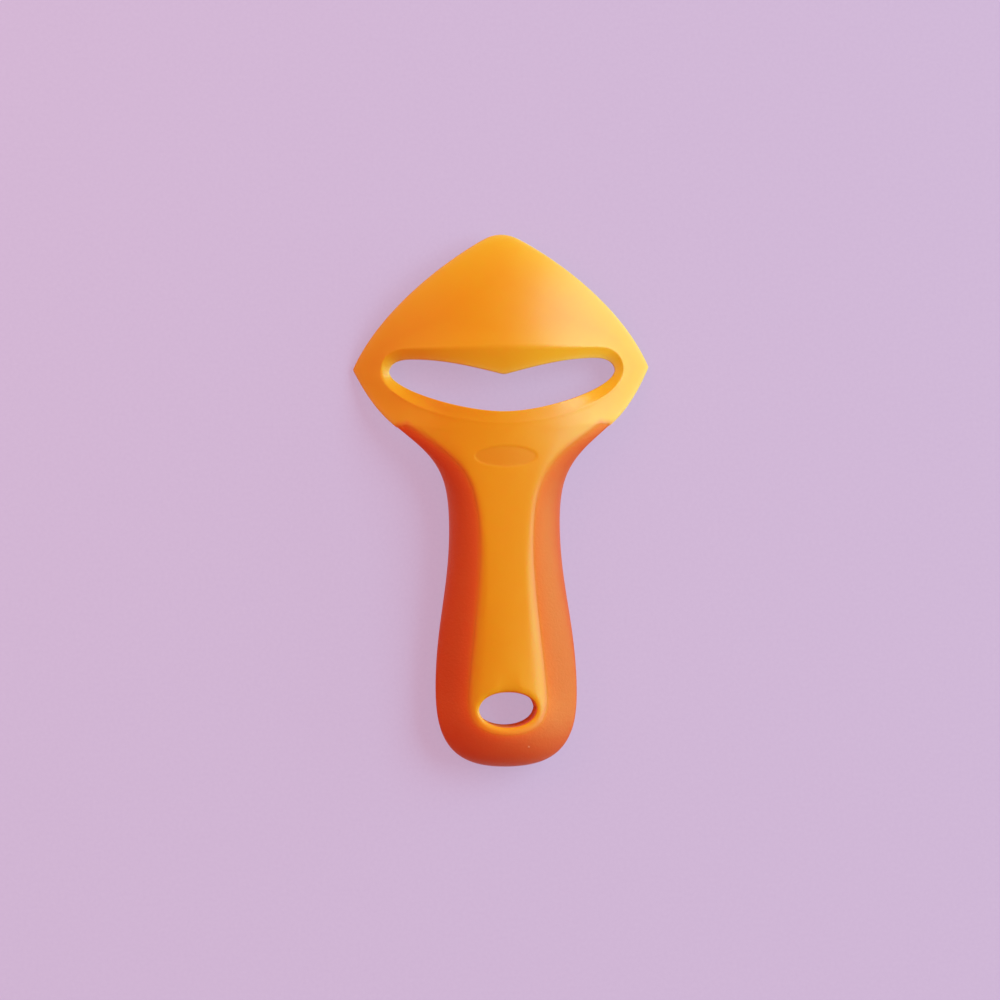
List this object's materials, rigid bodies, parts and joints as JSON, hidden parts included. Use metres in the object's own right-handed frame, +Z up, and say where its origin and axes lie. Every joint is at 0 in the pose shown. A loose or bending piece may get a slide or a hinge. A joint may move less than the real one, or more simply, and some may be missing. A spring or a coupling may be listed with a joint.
{
  "type": "orange peeler",
  "caption": "Hand-held orange peeler: a domed spade-shaped head with a lipped slot and scoring tooth, and a flared handle with a soft grip and a hanging hole.",
  "frame": {"origin": "centre of the bounding box on the plane that the handle's back rests on", "axes": "+X across to the right seen from the front, +Y along the handle towards the tip of the head, +Z up out of the domed front"},
  "size_m": [0.0896, 0.16, 0.018],
  "materials": {
    "amber_nylon": "satin-gloss moulded translucent amber nylon",
    "red_soft_rubber": "matt moulded red-orange thermoplastic elastomer"
  },
  "bodies": {
    "root": {"peeler_body": "amber_nylon", "soft_grip": "red_soft_rubber"}
  },
  "joints": []
}
